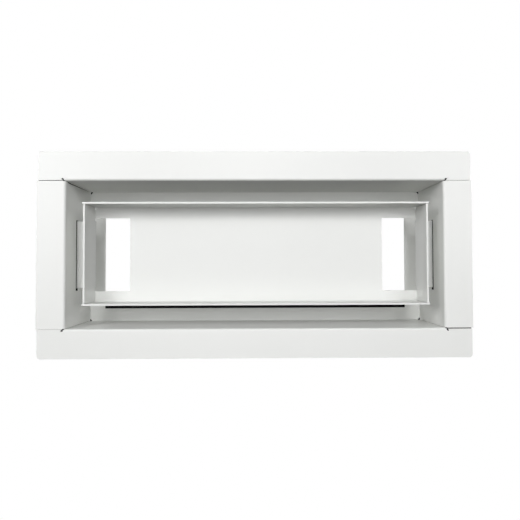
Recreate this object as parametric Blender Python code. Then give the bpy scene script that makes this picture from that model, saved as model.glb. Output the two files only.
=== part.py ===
"""Recessed slot air diffuser: a folded sheet-steel mounting frame and its lift-out cassette.

Metres, +Z up. X runs along the diffuser, the visible face looks along -Y and the duct is
towards +Y. The origin is the centre of the opening, in the plane where the back of the
flange lies on the wall. Each of the two pieces is one folded blank, so each is drawn as the
surface of its sheet, panel by panel and fold by fold, and then given its thickness.
"""
import math

import bmesh
import bpy
from mathutils import Vector

# ---- sheet and folds -------------------------------------------------------------------
SHEET = 0.0018              # steel with its powder coat
TIGHT_FOLD = 0.0010         # radius on the hollow side of a fold
ROUND_FOLD = 0.0024         # radius on the outer side of a fold
FOLD_STEPS = 5              # flats in one 90 degree fold
CORNER_GAP = 0.0003         # open seam where two upright walls meet
CORNER_RELIEF = 0.0022      # how far a fold stops short of the corner of its panel

# ---- frame -----------------------------------------------------------------------------
FLANGE_WIDTH = 0.4360
FLANGE_HEIGHT = 0.2070
FLANGE_CORNER_RADIUS = 0.0030
LONG_FLAP_SHORTER = 0.0010  # the long flaps end this much inside the end flaps' outer edges
FLAP_SEAM = 0.0004          # open seam between neighbouring flaps
OPENING_WIDTH = 0.3790
OPENING_HEIGHT = 0.1480
FRAME_DEPTH = 0.0600        # flange face to the face of the back plate
DUCT_WIDTH = 0.3460
DUCT_HEIGHT = 0.1190
NOTCH_WIDTH = 0.0014        # diagonal relief in each long flap, at the opening's corners
NOTCH_REACH = 0.0016

# ---- slots in the frame's end walls ----------------------------------------------------
SLOT_START = 0.0238         # from the flange face
SLOT_DEPTH = 0.0060
SLOT_HEIGHT = 0.0750

# ---- cassette --------------------------------------------------------------------------
CASSETTE_WIDTH = 0.3456     # over its end walls
CASSETTE_HEIGHT = 0.1035    # over its long walls
LONG_WALL_OVERHANG = 0.0010 # each end of a long wall runs past the end wall
FLOOR_DEPTH = 0.0258        # rim to the floor's face
EAR_REACH = 0.0310          # past the outside of the end wall
EAR_HEIGHT = 0.0710
EAR_CORNER_RADIUS = 0.0020
WINDOW_LENGTH = 0.0368      # opening that the ear's blank leaves in the floor
WINDOW_HEIGHT = 0.0777
WINDOW_CORNER_RADIUS = 0.0015
CASSETTE_REST_X = 0.0010    # where the loose cassette lies in its play
CASSETTE_REST_Z = 0.0009

# ---- values that follow ----------------------------------------------------------------
FACE_Y = -SHEET
BACK_Y = FACE_Y + FRAME_DEPTH
FLOOR_Y = FACE_Y + FLOOR_DEPTH
EAR_REAR_Y = FLOOR_Y + 2 * SHEET    # the ear's front face is level with the floor's rear face
HALF_OPENING_X = OPENING_WIDTH / 2
HALF_OPENING_Z = OPENING_HEIGHT / 2
INNER_X = CASSETTE_WIDTH / 2 - SHEET
INNER_Z = CASSETTE_HEIGHT / 2 - SHEET
CUTTER_MARGIN = 0.004
WELD_DISTANCE = 0.00001     # panels whose edges are this close share them
FACES_VIEWER = 0.9          # a normal this near to the Y axis belongs to a flat front panel


def clear_scene():
    for existing in list(bpy.data.objects):
        bpy.data.objects.remove(existing, do_unlink=True)


def powder_coat(name, colour, roughness):
    """White powder-coated steel."""
    material = bpy.data.materials.new(name)
    material.use_nodes = True
    shader = material.node_tree.nodes["Principled BSDF"]
    shader.inputs["Base Color"].default_value = (*colour, 1.0)
    shader.inputs["Roughness"].default_value = roughness
    shader.inputs["Metallic"].default_value = 0.0
    return material


def side(outward, along):
    """Places a point of one side: distance from the centre line, depth, distance along it."""
    outward = Vector(outward)
    along = Vector(along)

    def place(distance, depth, run):
        return outward * distance + along * run + Vector((0.0, depth, 0.0))

    return place


ABOVE = side((0, 0, 1), (1, 0, 0))
BELOW = side((0, 0, -1), (1, 0, 0))
RIGHT = side((1, 0, 0), (0, 0, 1))
LEFT = side((-1, 0, 0), (0, 0, 1))


def quarter_turn(centre, start, finish):
    """Points on the arc from start to finish, a quarter circle about centre."""
    centre = Vector(centre)
    from_centre = Vector(start) - centre
    to_finish = Vector(finish) - centre
    points = []
    for step in range(FOLD_STEPS + 1):
        angle = math.pi / 2 * step / FOLD_STEPS
        points.append(centre + from_centre * math.cos(angle) + to_finish * math.sin(angle))
    return points


def round_corner(before, corner, after, radius):
    """Arc that replaces a square corner of an outline."""
    before = Vector(before)
    corner = Vector(corner)
    after = Vector(after)
    start = corner + (before - corner).normalized() * radius
    finish = corner + (after - corner).normalized() * radius
    return quarter_turn(start + finish - corner, start, finish)


def mirrored(half_outline):
    """Closes an outline whose other half is the same with the run reversed."""
    return half_outline + [(across, -run) for across, run in reversed(half_outline)]


class Blank:
    """A folded blank, gathered as the panels of its visible surface."""

    def __init__(self):
        self.mesh = bmesh.new()

    def panel(self, points):
        self.mesh.faces.new([self.mesh.verts.new(point) for point in points])

    def fold(self, place, profile, low, high):
        """A rounded fold: profile holds (distance, depth) pairs, low and high are its ends."""
        for first, second in zip(profile, profile[1:]):
            self.panel([place(*first, low), place(*first, high), place(*second, high), place(*second, low)])

    def finish(self, name, material):
        """Joins the panels, points their faces to the visible side and adds the thickness."""
        bmesh.ops.remove_doubles(self.mesh, verts=self.mesh.verts, dist=WELD_DISTANCE)
        bmesh.ops.recalc_face_normals(self.mesh, faces=self.mesh.faces)
        self.mesh.normal_update()
        flat_panels = [face for face in self.mesh.faces if abs(face.normal.y) > FACES_VIEWER]
        largest = max(flat_panels, key=lambda face: face.calc_area())
        if largest.normal.y > 0:
            bmesh.ops.reverse_faces(self.mesh, faces=self.mesh.faces)
        data = bpy.data.meshes.new(name)
        self.mesh.to_mesh(data)
        self.mesh.free()
        piece = bpy.data.objects.new(name, data)
        bpy.context.collection.objects.link(piece)
        data.materials.append(material)
        thickness = piece.modifiers.new("sheet", "SOLIDIFY")
        thickness.thickness = SHEET
        thickness.offset = -1.0
        thickness.use_even_offset = True
        return piece


def box_cutter(name, low, high):
    """A box that cuts an opening and is left out of the model."""
    data = bpy.data.meshes.new(name)
    mesh = bmesh.new()
    bmesh.ops.create_cube(mesh, size=1.0)
    size = Vector(high) - Vector(low)
    middle = (Vector(high) + Vector(low)) / 2
    for vertex in mesh.verts:
        vertex.co = Vector([middle[i] + vertex.co[i] * size[i] for i in range(3)])
    mesh.to_mesh(data)
    mesh.free()
    cutter = bpy.data.objects.new(name, data)
    bpy.context.collection.objects.link(cutter)
    cutter.hide_render = True
    cutter.display_type = "WIRE"
    return cutter


def cut(piece, cutter):
    opening = piece.modifiers.new(cutter.name, "BOOLEAN")
    opening.operation = "DIFFERENCE"
    opening.solver = "EXACT"
    opening.object = cutter


# ---- frame -----------------------------------------------------------------------------
def flange_fold(wall):
    start = (wall + ROUND_FOLD, FACE_Y)
    finish = (wall, FACE_Y + ROUND_FOLD)
    return quarter_turn((wall + ROUND_FOLD, FACE_Y + ROUND_FOLD), start, finish)


def back_fold(wall, back):
    start = (wall, back - TIGHT_FOLD)
    finish = (wall - TIGHT_FOLD, back)
    return quarter_turn((wall - TIGHT_FOLD, back - TIGHT_FOLD), start, finish)


def long_flap_outline():
    """Half outline of a top or bottom flap, with the diagonal relief at the opening's corner."""
    outer = FLANGE_HEIGHT / 2
    end = FLANGE_WIDTH / 2 - LONG_FLAP_SHORTER
    seam = HALF_OPENING_Z + FLAP_SEAM
    fold_line = HALF_OPENING_Z + ROUND_FOLD
    fold_end = HALF_OPENING_X + SHEET
    across = NOTCH_WIDTH * math.sqrt(0.5)
    corner = round_corner((outer, 0), (outer, end), (seam, end), FLANGE_CORNER_RADIUS)
    outline = [tuple(point) for point in corner]
    outline.append((seam, end))
    outline.append((seam, fold_end + across))
    outline.append((seam + NOTCH_REACH, fold_end + across + NOTCH_REACH))
    outline.append((seam + NOTCH_REACH + across, fold_end + NOTCH_REACH))
    outline.append((fold_line, fold_end + fold_line - seam - across))
    outline.append((fold_line, fold_end))
    return outline


def end_flap_outline():
    """Half outline of a left or right flap."""
    outer = FLANGE_WIDTH / 2
    fold_line = HALF_OPENING_X + ROUND_FOLD
    return [
        (outer, HALF_OPENING_Z),
        (fold_line, HALF_OPENING_Z),
        (fold_line, HALF_OPENING_Z - CORNER_GAP),
    ]


def add_frame_side(blank, place, wall, flap, wall_end, fold_end):
    """One side of the frame, from the edge of its flap down to its fold into the back plate."""
    blank.panel([place(across, FACE_Y, run) for across, run in mirrored(flap)])
    blank.fold(place, flange_fold(wall), -wall_end, wall_end)
    deep = BACK_Y - TIGHT_FOLD
    upright = [(FACE_Y + ROUND_FOLD, wall_end), (deep, wall_end), (deep, fold_end)]
    blank.panel([place(wall, depth, run) for depth, run in mirrored(upright)])
    blank.fold(place, back_fold(wall, BACK_Y), -fold_end, fold_end)


def corner_points(half_x, half_z, depth):
    """Outline of a flat panel between four folds, each of which stops short of the corners."""
    quarter = [
        (half_x - CORNER_RELIEF, half_z - TIGHT_FOLD),
        (half_x - TIGHT_FOLD, half_z - TIGHT_FOLD),
        (half_x - TIGHT_FOLD, half_z - CORNER_RELIEF),
    ]
    right = quarter + [(x, -z) for x, z in reversed(quarter)]
    around = right + [(-x, z) for x, z in reversed(right)]
    return [Vector((x, depth, z)) for x, z in around]


def make_frame(material):
    blank = Blank()
    long_fold_end = HALF_OPENING_X - CORNER_RELIEF
    end_fold_end = HALF_OPENING_Z - CORNER_RELIEF
    for place in (ABOVE, BELOW):
        add_frame_side(
            blank, place, HALF_OPENING_Z, long_flap_outline(), HALF_OPENING_X + SHEET, long_fold_end
        )
    for place in (LEFT, RIGHT):
        add_frame_side(
            blank, place, HALF_OPENING_X, end_flap_outline(), HALF_OPENING_Z - CORNER_GAP, end_fold_end
        )
    blank.panel(corner_points(HALF_OPENING_X, HALF_OPENING_Z, BACK_Y))
    frame = blank.finish("frame", material)

    duct = box_cutter(
        "duct_cutter",
        (-DUCT_WIDTH / 2, BACK_Y - CUTTER_MARGIN, -DUCT_HEIGHT / 2),
        (DUCT_WIDTH / 2, BACK_Y + SHEET + CUTTER_MARGIN, DUCT_HEIGHT / 2),
    )
    cut(frame, duct)
    slot_y = FACE_Y + SLOT_START
    for name, direction in (("left_slot_cutter", -1), ("right_slot_cutter", 1)):
        inner = direction * (HALF_OPENING_X - CUTTER_MARGIN)
        outer = direction * (HALF_OPENING_X + SHEET + CUTTER_MARGIN)
        slot = box_cutter(
            name,
            (min(inner, outer), slot_y, -SLOT_HEIGHT / 2),
            (max(inner, outer), slot_y + SLOT_DEPTH, SLOT_HEIGHT / 2),
        )
        cut(frame, slot)
    return frame


# ---- cassette --------------------------------------------------------------------------
def add_cassette_end(blank, place):
    """An end wall with its two short folds to the floor and the ear that is folded outwards."""
    window = WINDOW_HEIGHT / 2
    ear = EAR_HEIGHT / 2
    wall_end = INNER_Z - CORNER_GAP
    fold_end = INNER_Z - CORNER_RELIEF
    deep = FLOOR_Y - TIGHT_FOLD
    tongue = EAR_REAR_Y - ROUND_FOLD
    upright = [
        (FACE_Y, wall_end),
        (deep, wall_end),
        (deep, fold_end),
        (deep, window),
        (deep, ear),
        (tongue, ear),
    ]
    blank.panel([place(INNER_X, depth, run) for depth, run in mirrored(upright)])
    blank.fold(place, back_fold(INNER_X, FLOOR_Y), window, fold_end)
    blank.fold(place, back_fold(INNER_X, FLOOR_Y), -fold_end, -window)

    root = (INNER_X + ROUND_FOLD, EAR_REAR_Y)
    outward_fold = quarter_turn((INNER_X + ROUND_FOLD, tongue), (INNER_X, tongue), root)
    blank.fold(place, outward_fold, -ear, ear)
    tip = CASSETTE_WIDTH / 2 + EAR_REACH
    corner = round_corner((root[0], ear), (tip, ear), (tip, 0), EAR_CORNER_RADIUS)
    outline = [(root[0], ear)] + [tuple(point) for point in corner]
    blank.panel([place(across, EAR_REAR_Y, run) for across, run in mirrored(outline)])


def add_cassette_long_wall(blank, place):
    wall_end = CASSETTE_WIDTH / 2 + LONG_WALL_OVERHANG
    fold_end = INNER_X - CORNER_RELIEF
    deep = FLOOR_Y - TIGHT_FOLD
    upright = [(FACE_Y, wall_end), (deep, wall_end), (deep, fold_end)]
    blank.panel([place(INNER_Z, depth, run) for depth, run in mirrored(upright)])
    blank.fold(place, back_fold(INNER_Z, FLOOR_Y), -fold_end, fold_end)


def floor_outline():
    """The floor, with the window at each end where the ear's blank was taken from."""
    edge = INNER_X - TIGHT_FOLD
    window = WINDOW_HEIGHT / 2
    inner = INNER_X - WINDOW_LENGTH
    corner = round_corner((edge, window), (inner, window), (inner, 0), WINDOW_CORNER_RADIUS)
    quarter = [
        (INNER_X - CORNER_RELIEF, INNER_Z - TIGHT_FOLD),
        (edge, INNER_Z - TIGHT_FOLD),
        (edge, INNER_Z - CORNER_RELIEF),
        (edge, window),
    ]
    quarter += [tuple(point) for point in corner]
    right = mirrored(quarter)
    around = right + [(-x, z) for x, z in reversed(right)]
    return [Vector((x, FLOOR_Y, z)) for x, z in around]


def make_cassette(material):
    blank = Blank()
    for place in (ABOVE, BELOW):
        add_cassette_long_wall(blank, place)
    for place in (LEFT, RIGHT):
        add_cassette_end(blank, place)
    blank.panel(floor_outline())
    cassette = blank.finish("cassette", material)
    cassette.location = (CASSETTE_REST_X, 0.0, CASSETTE_REST_Z)
    return cassette


clear_scene()
make_frame(powder_coat("frame_coat", (0.80, 0.81, 0.79), 0.42))
make_cassette(powder_coat("cassette_coat", (0.82, 0.83, 0.81), 0.42))
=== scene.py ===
"""The looks of the recessed slot air diffuser: white powder-coated folded sheet steel.

Each of the two pieces is drawn again over its CAD node as the surface of its sheet, with
round folds, coated edges, corner reliefs and open seams. Metres, in the CAD frame: X is the
width, the visible face looks along -Y, Z is up. A depth is a distance along Y.
"""
import math

import bmesh
import bpy
from mathutils import Matrix, Vector


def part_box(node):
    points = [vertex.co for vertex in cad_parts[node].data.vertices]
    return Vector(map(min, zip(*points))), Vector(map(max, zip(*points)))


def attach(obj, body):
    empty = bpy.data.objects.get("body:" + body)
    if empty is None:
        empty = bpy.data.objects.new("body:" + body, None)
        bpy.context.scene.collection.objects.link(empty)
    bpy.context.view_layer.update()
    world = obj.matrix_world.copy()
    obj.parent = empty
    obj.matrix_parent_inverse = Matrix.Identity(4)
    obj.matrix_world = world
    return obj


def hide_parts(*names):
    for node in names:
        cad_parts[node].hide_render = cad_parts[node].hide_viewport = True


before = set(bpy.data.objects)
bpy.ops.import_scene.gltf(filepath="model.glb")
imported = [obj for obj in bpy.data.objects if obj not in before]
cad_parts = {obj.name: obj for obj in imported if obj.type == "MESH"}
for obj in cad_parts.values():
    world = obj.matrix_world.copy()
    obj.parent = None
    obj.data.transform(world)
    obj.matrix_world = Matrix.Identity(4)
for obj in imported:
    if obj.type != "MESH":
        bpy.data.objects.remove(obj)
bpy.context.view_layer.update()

FRAME_LOW, FRAME_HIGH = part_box("frame")
TRAY_LOW, TRAY_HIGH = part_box("cassette")

# ---- sheet -----------------------------------------------------------------------------
SHEET = 0.0018
TIGHT_FOLD = 0.0010         # hollow side of a fold
ROUND_FOLD = 0.0024         # outer side of a fold
FOLD_STEPS = 12
ARC_STEPS = 6
EDGE_ROUNDING = 0.00022     # powder coat drawn round a cut edge
EDGE_ANGLE = math.radians(40)   # only edges sharper than this are rounded
CREASE_ANGLE = math.radians(35)
CORNER_GAP = 0.0003         # open seam where two walls meet
CORNER_RELIEF = 0.0022      # size of the relief hole where three folds meet
WELD_DISTANCE = 0.00001     # panels whose edges are this close share them
FACES_VIEWER = 0.9          # a normal this near to the Y axis: the panel faces front or back
CUTTER_MARGIN = 0.0040      # how far a cutter reaches past the sheet

# ---- frame, from its CAD box -----------------------------------------------------------
FACE_Y = FRAME_LOW.y
BACK_Y = FRAME_HIGH.y - SHEET
HALF_FLANGE_X = FRAME_HIGH.x
HALF_FLANGE_Z = FRAME_HIGH.z
END_FLANGE = 0.0285         # visible width of the end flaps
LONG_FLANGE = 0.0295        # visible width of the long flaps
HALF_OPENING_X = HALF_FLANGE_X - END_FLANGE
HALF_OPENING_Z = HALF_FLANGE_Z - LONG_FLANGE
FLANGE_CORNER_RADIUS = 0.0030
LONG_FLAP_SHORTER = 0.0010  # the long flaps end this far short of the end flaps
UPPER_SEAMS = (0.0006, 0.0003)  # left and right open seams beside the upper flap
LOWER_SEAMS = (0.0002, 0.0010)  # and beside the lower flap
UPPER_LEFT_GAPE = 0.0009    # the left wall stands off the upper wall near the front
GAPE_DEPTH = 0.0060
NOTCH_WIDTH = 0.0014        # diagonal relief at the inner corners of the flange
NOTCH_REACH = 0.0016
DUCT_HALF_X = 0.1730
DUCT_HALF_Z = 0.0595
SLOT_START = 0.0238         # depth of an ear slot's front edge behind the flange face
SLOT_DEPTH = 0.0060
SLOT_HEIGHT = 0.0750

# ---- cassette, from its CAD box --------------------------------------------------------
TRAY_X = (TRAY_LOW.x + TRAY_HIGH.x) / 2
TRAY_Z = (TRAY_LOW.z + TRAY_HIGH.z) / 2
EAR_REAR_Y = TRAY_HIGH.y
FLOOR_Y = EAR_REAR_Y - 2 * SHEET
EAR_REACH = 0.0310
EAR_TIP = (TRAY_HIGH.x - TRAY_LOW.x) / 2
HALF_TRAY_X = EAR_TIP - EAR_REACH
HALF_TRAY_Z = (TRAY_HIGH.z - TRAY_LOW.z) / 2
INNER_X = HALF_TRAY_X - SHEET
INNER_Z = HALF_TRAY_Z - SHEET
LONG_WALL_OVERHANG = 0.0010
HALF_EAR = 0.0355
EAR_CORNER_RADIUS = 0.0020
WINDOW_LENGTH = 0.0368
HALF_WINDOW = 0.03885
WINDOW_CORNER_RADIUS = 0.0015

# ---- powder coat, a satin white --------------------------------------------------------
FRAME_TINT = (0.745, 0.755, 0.722)
CASSETTE_TINT = (0.708, 0.718, 0.687)
COAT_IOR = 1.5
GLOSSIEST = 0.38            # least and greatest roughness
DULLEST = 0.47
CLOUD_SCALE = 9.0           # clouds in the colour and gloss, to the metre
CLOUD_DARKENING = 0.985
CLOUD_EDGES = (0.3, 0.7)
PEEL_SCALE = 700.0          # orange peel in the gloss, to the metre
PEEL_STRENGTH = 0.12
PEEL_DEPTH = 0.0002

# ---- painted shade: black sheets behind the narrow gaps --------------------------------
PAINTED_SHADE_BLACK = 0.012
PAINTED_SHADE_THICKNESS = 0.0003
PAINTED_SHADE_INSET = 0.0015     # distance from the flange's outer edge
BURIED = 0.0007             # how deep its edges lie inside the metal beside an opening
SEAM_SHADE_REACH = 0.0020       # how far the painted-shade strips at the wall seams reach into the end walls
SLIT_SHADE_REACH = 0.0055       # how far the black painted-shade strip reaches below the cassette
SLIT_HALF_LENGTH = 0.1600   # a full slide uncovers only a few millimetres of the strip

# ---- studio ----------------------------------------------------------------------------
FLOOR_Z = -0.55
FLOOR_RADIUS = 7.0
FLOOR_SIDES = 96
FLOOR_BOUNCE = 0.12         # share of the light that the low floor throws back up
BACK_FILL = 0.1             # soft light from straight behind the diffuser
LIGHT_COLOUR = (1.0, 0.995, 1.02)
SOFT_LIGHTS = (             # name, place, edge of the square, watts
    ("front", (0.0, -1.30, 0.0), 1.0, 6.5),
    ("left_high", (-0.90, -0.90, 0.35), 0.6, 6.8),
    ("right_high", (0.90, -0.90, 0.35), 0.6, 5.6),
    ("upper_left", (-0.75, -0.75, 0.75), 0.6, 2.4),
    ("upper_front", (0.0, -1.82, 0.82), 0.4, 9.5),
    ("rear_left", (-1.10, 0.80, 0.30), 0.6, 3.4),
    ("rear_right", (1.10, 0.80, 0.30), 0.6, 3.4),
)
SENSOR_WIDTH = 36.0         # this and the lens are in millimetres
LENS = 26.7231
NEAREST_SEEN = 0.01
CAMERA_PLACE = (0.00075, FACE_Y - 0.3857, -0.01384)
CAMERA_TURN = (math.radians(91.198), math.radians(0.172), math.radians(-0.565))


def link_mesh(name, mesh):
    """Turns a bmesh into an object of the scene."""
    data = bpy.data.meshes.new(name)
    mesh.to_mesh(data)
    mesh.free()
    thing = bpy.data.objects.new(name, data)
    bpy.context.collection.objects.link(thing)
    return thing


# ---- drawing folded sheet --------------------------------------------------------------
def side(outward, along):
    """Places a point of one side: distance from the centre line, depth, distance along it."""
    outward = Vector(outward)
    along = Vector(along)

    def place(distance, depth, run):
        return outward * distance + along * run + Vector((0.0, depth, 0.0))

    return place


ABOVE = side((0, 0, 1), (1, 0, 0))
BELOW = side((0, 0, -1), (1, 0, 0))
RIGHT = side((1, 0, 0), (0, 0, 1))
LEFT = side((-1, 0, 0), (0, 0, 1))


def quarter_turn(centre, start, finish, steps=FOLD_STEPS):
    """Points along a quarter circle, both ends included."""
    centre = Vector(centre)
    from_centre = Vector(start) - centre
    to_finish = Vector(finish) - centre
    angles = [math.pi / 2 * step / steps for step in range(steps + 1)]
    return [centre + from_centre * math.cos(a) + to_finish * math.sin(a) for a in angles]


def round_corner(before, corner, after, radius):
    """The arc that rounds a corner between two straight edges."""
    before = Vector(before)
    corner = Vector(corner)
    after = Vector(after)
    start = corner + (before - corner).normalized() * radius
    finish = corner + (after - corner).normalized() * radius
    return quarter_turn(start + finish - corner, start, finish, ARC_STEPS)


def two_ended(low_half, high_half):
    """Joins the outlines of a side's two halves. Both are given as for the high end."""
    return high_half + [(across, -run) for across, run in reversed(low_half)]


def mirrored(half_outline):
    return two_ended(half_outline, half_outline)


class Blank:
    """A folded blank, gathered as the panels of its visible surface."""

    def __init__(self):
        self.mesh = bmesh.new()

    def panel(self, points):
        """Adds one flat face."""
        self.mesh.faces.new([self.mesh.verts.new(point) for point in points])

    def fold(self, place, profile, low, high):
        """Sweeps a curved profile along one side, from low to high."""
        for first, second in zip(profile, profile[1:]):
            near = [place(*first, low), place(*first, high)]
            far = [place(*second, high), place(*second, low)]
            self.panel(near + far)

    def finish(self, name, material, cutters=()):
        """Joins the panels, gives them the sheet's thickness and rounds the cut edges."""
        bmesh.ops.remove_doubles(self.mesh, verts=self.mesh.verts, dist=WELD_DISTANCE)
        bmesh.ops.recalc_face_normals(self.mesh, faces=self.mesh.faces)
        self.mesh.normal_update()
        flat_panels = [face for face in self.mesh.faces if abs(face.normal.y) > FACES_VIEWER]
        largest = max(flat_panels, key=lambda face: face.calc_area())
        if largest.normal.y > 0:
            bmesh.ops.reverse_faces(self.mesh, faces=self.mesh.faces)
        piece = link_mesh(name, self.mesh)
        piece.data.materials.append(material)
        thickness = piece.modifiers.new("sheet", "SOLIDIFY")
        thickness.thickness = SHEET
        thickness.offset = -1.0
        thickness.use_even_offset = True
        for cutter in cutters:
            opening = piece.modifiers.new(cutter.name, "BOOLEAN")
            opening.operation = "DIFFERENCE"
            opening.object = cutter
        rounding = piece.modifiers.new("coated_edges", "BEVEL")
        rounding.width = EDGE_ROUNDING
        rounding.segments = 3
        rounding.limit_method = "ANGLE"
        rounding.angle_limit = EDGE_ANGLE
        rounding.use_clamp_overlap = True
        apply_modifiers(piece)
        for cutter in cutters:
            bpy.data.objects.remove(cutter)
        piece.data.shade_smooth()
        piece.data.set_sharp_from_angle(angle=CREASE_ANGLE)
        weighted = piece.modifiers.new("flat_panels", "WEIGHTED_NORMAL")
        weighted.keep_sharp = True
        return piece


def apply_modifiers(piece):
    evaluated = piece.evaluated_get(bpy.context.evaluated_depsgraph_get())
    data = bpy.data.meshes.new_from_object(evaluated)
    piece.modifiers.clear()
    piece.data = data


def box_cutter(name, low, high):
    """A box between two corners, to cut an opening with."""
    mesh = bmesh.new()
    bmesh.ops.create_cube(mesh, size=1.0)
    low = Vector(low)
    high = Vector(high)
    scale = Matrix.Diagonal((*(high - low), 1.0))
    bmesh.ops.transform(mesh, matrix=Matrix.Translation((low + high) / 2) @ scale, verts=mesh.verts)
    return link_mesh(name, mesh)


# ---- frame -----------------------------------------------------------------------------
def flange_fold(wall):
    """The outer side of the fold from a flange flap into its wall."""
    start = (wall + ROUND_FOLD, FACE_Y)
    finish = (wall, FACE_Y + ROUND_FOLD)
    return quarter_turn((wall + ROUND_FOLD, FACE_Y + ROUND_FOLD), start, finish)


def back_fold(wall, back):
    """The hollow side of the fold from a wall into a rear panel."""
    start = (wall, back - TIGHT_FOLD)
    finish = (wall - TIGHT_FOLD, back)
    return quarter_turn((wall - TIGHT_FOLD, back - TIGHT_FOLD), start, finish)


def long_flap_half(seam_width):
    """Half of a long flap, with the diagonal relief notch at the flange's inner corner."""
    end = HALF_FLANGE_X - LONG_FLAP_SHORTER
    seam = HALF_OPENING_Z + seam_width
    fold_line = HALF_OPENING_Z + ROUND_FOLD
    fold_end = HALF_OPENING_X + SHEET
    across = NOTCH_WIDTH * math.sqrt(0.5)
    outer_corner = (HALF_FLANGE_Z, end)
    corner = round_corner((HALF_FLANGE_Z, 0), outer_corner, (seam, end), FLANGE_CORNER_RADIUS)
    outline = [tuple(point) for point in corner]
    outline.append((seam, end))
    outline.append((seam, fold_end + across))
    outline.append((seam + NOTCH_REACH, fold_end + across + NOTCH_REACH))
    outline.append((seam + NOTCH_REACH + across, fold_end + NOTCH_REACH))
    outline.append((fold_line, fold_end + fold_line - seam - across))
    outline.append((fold_line, fold_end))
    return outline


def end_flap_half():
    fold_line = HALF_OPENING_X + ROUND_FOLD
    wall_end = HALF_OPENING_Z - CORNER_GAP
    return [(HALF_FLANGE_X, HALF_OPENING_Z), (fold_line, HALF_OPENING_Z), (fold_line, wall_end)]


def upright_half(wall_end, fold_end, gape):
    """Half of a frame wall. Its seam opens by gape near the front."""
    front = FACE_Y + ROUND_FOLD
    deep = BACK_Y - TIGHT_FOLD
    seam = [(front, wall_end), (front + GAPE_DEPTH, wall_end - gape), (deep, wall_end)]
    return seam + [(deep, fold_end)]


def add_frame_side(blank, place, wall, flap, wall_end, fold_end, gape=0.0):
    """A flange flap, its fold, its wall and the fold into the back plate."""
    blank.panel([place(across, FACE_Y, run) for across, run in flap])
    blank.fold(place, flange_fold(wall), -wall_end, wall_end)
    upright = two_ended(upright_half(wall_end, fold_end, 0.0), upright_half(wall_end, fold_end, gape))
    blank.panel([place(wall, depth, run) for depth, run in upright])
    blank.fold(place, back_fold(wall, BACK_Y), -fold_end, fold_end)


def flat_between_folds(half_x, half_z, depth):
    """A rear panel inside its four folds, with its corners cut for the relief holes."""
    quarter = [
        (half_x - CORNER_RELIEF, half_z - TIGHT_FOLD),
        (half_x - TIGHT_FOLD, half_z - TIGHT_FOLD),
        (half_x - TIGHT_FOLD, half_z - CORNER_RELIEF),
    ]
    right = mirrored(quarter)
    around = right + [(-x, z) for x, z in reversed(right)]
    return [Vector((x, depth, z)) for x, z in around]


def make_frame(material):
    blank = Blank()
    wall_end = HALF_OPENING_X + SHEET
    fold_end = HALF_OPENING_X - CORNER_RELIEF
    for place, seams in ((ABOVE, UPPER_SEAMS), (BELOW, LOWER_SEAMS)):
        flap = two_ended(*[long_flap_half(seam) for seam in seams])
        add_frame_side(blank, place, HALF_OPENING_Z, flap, wall_end, fold_end)
    wall_end = HALF_OPENING_Z - CORNER_GAP
    fold_end = HALF_OPENING_Z - CORNER_RELIEF
    for place, gape in ((LEFT, UPPER_LEFT_GAPE), (RIGHT, 0.0)):
        flap = mirrored(end_flap_half())
        add_frame_side(blank, place, HALF_OPENING_X, flap, wall_end, fold_end, gape)
    blank.panel(flat_between_folds(HALF_OPENING_X, HALF_OPENING_Z, BACK_Y))

    duct_low = (-DUCT_HALF_X, BACK_Y - CUTTER_MARGIN, -DUCT_HALF_Z)
    duct_high = (DUCT_HALF_X, BACK_Y + SHEET + CUTTER_MARGIN, DUCT_HALF_Z)
    cutters = [box_cutter("duct_cutter", duct_low, duct_high)]
    slot_y = FACE_Y + SLOT_START
    inner = HALF_OPENING_X - CUTTER_MARGIN
    outer = HALF_OPENING_X + SHEET + CUTTER_MARGIN
    for name, left, right in (("left_slot_cutter", -outer, -inner), ("right_slot_cutter", inner, outer)):
        low = (left, slot_y, -SLOT_HEIGHT / 2)
        high = (right, slot_y + SLOT_DEPTH, SLOT_HEIGHT / 2)
        cutters.append(box_cutter(name, low, high))
    piece = blank.finish("folded_frame", material, cutters)
    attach(piece, "frame")
    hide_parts("frame")


# ---- cassette --------------------------------------------------------------------------
def add_cassette_end(blank, place):
    """An end wall, the folds beside its window, and the ear folded out of its rear edge."""
    wall_end = INNER_Z - CORNER_GAP
    fold_end = INNER_Z - CORNER_RELIEF
    deep = FLOOR_Y - TIGHT_FOLD
    tongue = EAR_REAR_Y - ROUND_FOLD
    upright = [
        (FACE_Y, wall_end),
        (deep, wall_end),
        (deep, fold_end),
        (deep, HALF_WINDOW),
        (deep, HALF_EAR),
        (tongue, HALF_EAR),
    ]
    blank.panel([place(INNER_X, depth, run) for depth, run in mirrored(upright)])
    blank.fold(place, back_fold(INNER_X, FLOOR_Y), HALF_WINDOW, fold_end)
    blank.fold(place, back_fold(INNER_X, FLOOR_Y), -fold_end, -HALF_WINDOW)

    root = (INNER_X + ROUND_FOLD, EAR_REAR_Y)
    outward_fold = quarter_turn((INNER_X + ROUND_FOLD, tongue), (INNER_X, tongue), root)
    blank.fold(place, outward_fold, -HALF_EAR, HALF_EAR)
    corner = round_corner((root[0], HALF_EAR), (EAR_TIP, HALF_EAR), (EAR_TIP, 0), EAR_CORNER_RADIUS)
    outline = [(root[0], HALF_EAR)] + [tuple(point) for point in corner]
    blank.panel([place(across, EAR_REAR_Y, run) for across, run in mirrored(outline)])


def add_cassette_long_wall(blank, place):
    """The upper or the lower wall, which runs past the end walls, and its fold."""
    wall_end = HALF_TRAY_X + LONG_WALL_OVERHANG
    fold_end = INNER_X - CORNER_RELIEF
    deep = FLOOR_Y - TIGHT_FOLD
    upright = [(FACE_Y, wall_end), (deep, wall_end), (deep, fold_end)]
    blank.panel([place(INNER_Z, depth, run) for depth, run in mirrored(upright)])
    blank.fold(place, back_fold(INNER_Z, FLOOR_Y), -fold_end, fold_end)


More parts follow.
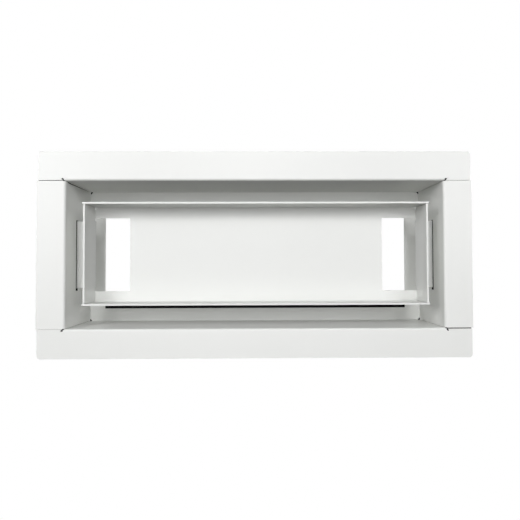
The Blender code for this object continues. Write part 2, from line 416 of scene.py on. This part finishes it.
def floor_outline():
    """The cassette's floor, with a grip window cut in from each end."""
    edge = INNER_X - TIGHT_FOLD
    inner = INNER_X - WINDOW_LENGTH
    corner = round_corner((edge, HALF_WINDOW), (inner, HALF_WINDOW), (inner, 0), WINDOW_CORNER_RADIUS)
    quarter = [
        (INNER_X - CORNER_RELIEF, INNER_Z - TIGHT_FOLD),
        (edge, INNER_Z - TIGHT_FOLD),
        (edge, INNER_Z - CORNER_RELIEF),
        (edge, HALF_WINDOW),
    ]
    quarter += [tuple(point) for point in corner]
    right = mirrored(quarter)
    around = right + [(-x, z) for x, z in reversed(right)]
    return [Vector((x, FLOOR_Y, z)) for x, z in around]


def make_cassette(material):
    blank = Blank()
    for place in (ABOVE, BELOW):
        add_cassette_long_wall(blank, place)
    for place in (LEFT, RIGHT):
        add_cassette_end(blank, place)
    blank.panel(floor_outline())
    piece = blank.finish("folded_cassette", material)
    piece.data.transform(Matrix.Translation((TRAY_X, 0.0, TRAY_Z)))
    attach(piece, "cassette")
    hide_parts("cassette")


# ---- powder coat material --------------------------------------------------------------
def powder_coat(name, tint):
    """Satin white powder coat: orange peel in the gloss, faint clouding in the colour."""
    material = bpy.data.materials.new(name)
    material.use_nodes = True
    nodes = material.node_tree.nodes
    links = material.node_tree.links
    shader = nodes["Principled BSDF"]
    shader.inputs["IOR"].default_value = COAT_IOR
    shader.inputs["Metallic"].default_value = 0.0

    place = nodes.new("ShaderNodeTexCoord")

    clouds = nodes.new("ShaderNodeTexNoise")
    clouds.inputs["Scale"].default_value = CLOUD_SCALE
    clouds.inputs["Detail"].default_value = 3.0
    links.new(place.outputs["Object"], clouds.inputs["Vector"])
    colour = nodes.new("ShaderNodeValToRGB")
    darker, lighter = colour.color_ramp.elements
    darker.position, lighter.position = CLOUD_EDGES
    darker.color = (*[channel * CLOUD_DARKENING for channel in tint], 1.0)
    lighter.color = (*tint, 1.0)
    links.new(clouds.outputs["Fac"], colour.inputs["Fac"])
    links.new(colour.outputs["Color"], shader.inputs["Base Color"])

    gloss = nodes.new("ShaderNodeMapRange")
    gloss.inputs["To Min"].default_value = GLOSSIEST
    gloss.inputs["To Max"].default_value = DULLEST
    links.new(clouds.outputs["Fac"], gloss.inputs["Value"])
    links.new(gloss.outputs["Result"], shader.inputs["Roughness"])

    peel = nodes.new("ShaderNodeTexNoise")
    peel.inputs["Scale"].default_value = PEEL_SCALE
    peel.inputs["Detail"].default_value = 2.0
    links.new(place.outputs["Object"], peel.inputs["Vector"])
    bump = nodes.new("ShaderNodeBump")
    bump.inputs["Strength"].default_value = PEEL_STRENGTH
    bump.inputs["Distance"].default_value = PEEL_DEPTH
    links.new(peel.outputs["Fac"], bump.inputs["Height"])
    links.new(bump.outputs["Normal"], shader.inputs["Normal"])
    return material


# ---- studio pieces, lights and camera --------------------------------------------------
def make_floor():
    """A floor well below the diffuser: white to the camera, a weak bounce to other rays."""
    mesh = bmesh.new()
    bmesh.ops.create_circle(mesh, cap_ends=True, segments=FLOOR_SIDES, radius=FLOOR_RADIUS)
    floor = link_mesh("studio_floor", mesh)
    floor.location = (0.0, 0.0, FLOOR_Z)
    material = bpy.data.materials.new("studio_floor_paint")
    material.use_nodes = True
    nodes = material.node_tree.nodes
    links = material.node_tree.links
    nodes.clear()
    matt = nodes.new("ShaderNodeBsdfDiffuse")
    matt.inputs["Color"].default_value = (FLOOR_BOUNCE, FLOOR_BOUNCE, FLOOR_BOUNCE, 1.0)
    white = nodes.new("ShaderNodeEmission")
    rays = nodes.new("ShaderNodeLightPath")
    seen = nodes.new("ShaderNodeMixShader")
    links.new(rays.outputs["Is Camera Ray"], seen.inputs["Fac"])
    links.new(matt.outputs["BSDF"], seen.inputs[1])
    links.new(white.outputs["Emission"], seen.inputs[2])
    surface = nodes.new("ShaderNodeOutputMaterial")
    links.new(seen.outputs["Shader"], surface.inputs["Surface"])
    floor.data.materials.append(material)


def add_rectangle(mesh, corners, facing=0):
    """One face of the painted-shade sheets. Its material is the black of the painted shade where facing
    is 0, coated where it is 1.
    """
    face = mesh.faces.new([mesh.verts.new(corner) for corner in corners])
    face.material_index = facing


def add_upright(mesh, depth, left_right, low_high, facing):
    """A rectangle that faces along Y."""
    left, right = left_right
    low, high = low_high
    corners = [(left, depth, low), (right, depth, low), (right, depth, high), (left, depth, high)]
    add_rectangle(mesh, corners, facing)


def add_sheet_ring(mesh, depth, outer, inner, facing):
    """Four rectangles round a rectangular opening, at one depth. Sizes are halves, X then Z."""
    outer_x, outer_z = outer
    inner_x, inner_z = inner
    add_upright(mesh, depth, (-outer_x, outer_x), (inner_z, outer_z), facing)
    add_upright(mesh, depth, (-outer_x, outer_x), (-outer_z, -inner_z), facing)
    add_upright(mesh, depth, (-outer_x, -inner_x), (-inner_z, inner_z), facing)
    add_upright(mesh, depth, (inner_x, outer_x), (-inner_z, inner_z), facing)


def add_wall_strip(mesh, x, front_rear, low_high):
    """A black rectangle of painted shade that faces along X."""
    front, rear = front_rear
    low, high = low_high
    add_rectangle(mesh, [(x, front, low), (x, rear, low), (x, rear, high), (x, front, high)])


def add_wall_strips(mesh, x):
    """Black strips of painted shade inside one end wall: round the ear in its slot, and at the wall's
    seams.
    """
    slot_front = FACE_Y + SLOT_START - BURIED
    slot_rear = FACE_Y + SLOT_START + SLOT_DEPTH + BURIED
    slot_end = SLOT_HEIGHT / 2 + BURIED
    ear_low = TRAY_Z - HALF_EAR - CORNER_GAP
    ear_high = TRAY_Z + HALF_EAR + CORNER_GAP
    add_wall_strip(mesh, x, (slot_front, FLOOR_Y + SHEET - CORNER_GAP), (ear_low, ear_high))
    add_wall_strip(mesh, x, (slot_front, slot_rear), (ear_high, slot_end))
    add_wall_strip(mesh, x, (slot_front, slot_rear), (-slot_end, ear_low))
    wall = (FACE_Y + ROUND_FOLD, BACK_Y - TIGHT_FOLD)
    seam_start = HALF_OPENING_Z - SEAM_SHADE_REACH
    seam_end = HALF_OPENING_Z + BURIED
    add_wall_strip(mesh, x, wall, (-seam_end, -seam_start))
    add_wall_strip(mesh, x, wall, (seam_start, seam_end))


# painted shade: the near-black material of the sheets behind the narrow gaps
def painted_shade_black():
    material = bpy.data.materials.new("painted_shade_black")
    material.use_nodes = True
    shader = material.node_tree.nodes["Principled BSDF"]
    shader.inputs["Base Color"].default_value = (PAINTED_SHADE_BLACK, PAINTED_SHADE_BLACK, PAINTED_SHADE_BLACK, 1.0)
    shader.inputs["Roughness"].default_value = 1.0
    shader.inputs["Specular IOR Level"].default_value = 0.0
    return material


def make_painted_gap_shade(coat):
    """A stage prop of painted shade: black sheets behind the narrow gaps, which would otherwise show the
    white background.

    It paints shade into the seams, relief holes and ear slots and the slit below the cassette,
    so that they read dark as with a dark room behind the diffuser. The rings lie inside the
    thickness of the flange and back plate, the wall strips inside the end walls, and the slit's
    strip behind the cassette. Rings and slit strip are black in front and coated behind. It never moves.
    """
    mesh = bmesh.new()
    flange_edge = (HALF_FLANGE_X - PAINTED_SHADE_INSET, HALF_FLANGE_Z - PAINTED_SHADE_INSET)
    opening = (HALF_OPENING_X + BURIED, HALF_OPENING_Z + BURIED)
    duct = (DUCT_HALF_X + BURIED, DUCT_HALF_Z + BURIED)
    slit_y = FLOOR_Y + SHEET + CORNER_GAP
    slit_length = (-SLIT_HALF_LENGTH, SLIT_HALF_LENGTH)
    slit_height = (TRAY_LOW.z - SLIT_SHADE_REACH, TRAY_LOW.z + SHEET)
    for facing, shift in ((0, 0.0), (1, PAINTED_SHADE_THICKNESS)):
        add_sheet_ring(mesh, FACE_Y + SHEET / 2 + shift, flange_edge, opening, facing)
        add_sheet_ring(mesh, BACK_Y + SHEET / 2 + shift, opening, duct, facing)
        add_upright(mesh, slit_y + shift, slit_length, slit_height, facing)
    for x in (-HALF_OPENING_X - SHEET / 2, HALF_OPENING_X + SHEET / 2):
        add_wall_strips(mesh, x)
    painted_shade = link_mesh("painted_gap_shade", mesh)
    painted_shade.data.materials.append(painted_shade_black())
    painted_shade.data.materials.append(coat)


def add_soft_light(name, place, edge, watts):
    """A square light aimed at the middle of the diffuser."""
    data = bpy.data.lights.new(name, "AREA")
    data.shape = "SQUARE"
    data.size = edge
    data.energy = watts
    data.color = LIGHT_COLOUR
    light = bpy.data.objects.new(name, data)
    bpy.context.collection.objects.link(light)
    light.location = place
    light.rotation_euler = (-Vector(place)).to_track_quat("-Z", "Y").to_euler()


def make_world():
    """White to the camera. To other rays a faint light from behind the diffuser."""
    world = bpy.data.worlds.new("studio")
    bpy.context.scene.world = world
    world.use_nodes = True
    nodes = world.node_tree.nodes
    links = world.node_tree.links
    background = nodes["Background"]
    background.inputs["Color"].default_value = (1.0, 1.0, 1.0, 1.0)
    direction = nodes.new("ShaderNodeTexCoord")
    axes = nodes.new("ShaderNodeSeparateXYZ")
    links.new(direction.outputs["Generated"], axes.inputs["Vector"])
    behind = nodes.new("ShaderNodeMapRange")
    behind.inputs["To Max"].default_value = BACK_FILL
    links.new(axes.outputs["Y"], behind.inputs["Value"])
    rays = nodes.new("ShaderNodeLightPath")
    strength = nodes.new("ShaderNodeMix")
    strength.inputs["B"].default_value = 1.0
    links.new(rays.outputs["Is Camera Ray"], strength.inputs["Factor"])
    links.new(behind.outputs["Result"], strength.inputs["A"])
    links.new(strength.outputs["Result"], background.inputs["Strength"])


def make_camera():
    data = bpy.data.cameras.new("camera")
    data.sensor_width = SENSOR_WIDTH
    data.lens = LENS
    data.clip_start = NEAREST_SEEN
    camera = bpy.data.objects.new("camera", data)
    bpy.context.collection.objects.link(camera)
    camera.location = CAMERA_PLACE
    camera.rotation_euler = CAMERA_TURN
    bpy.context.scene.camera = camera


make_camera()
make_world()
make_floor()
for light in SOFT_LIGHTS:
    add_soft_light(*light)
frame_coat = powder_coat("frame_powder_coat", FRAME_TINT)
make_frame(frame_coat)
make_painted_gap_shade(frame_coat)
make_cassette(powder_coat("cassette_powder_coat", CASSETTE_TINT))
bpy.context.scene.view_settings.view_transform = "Standard"
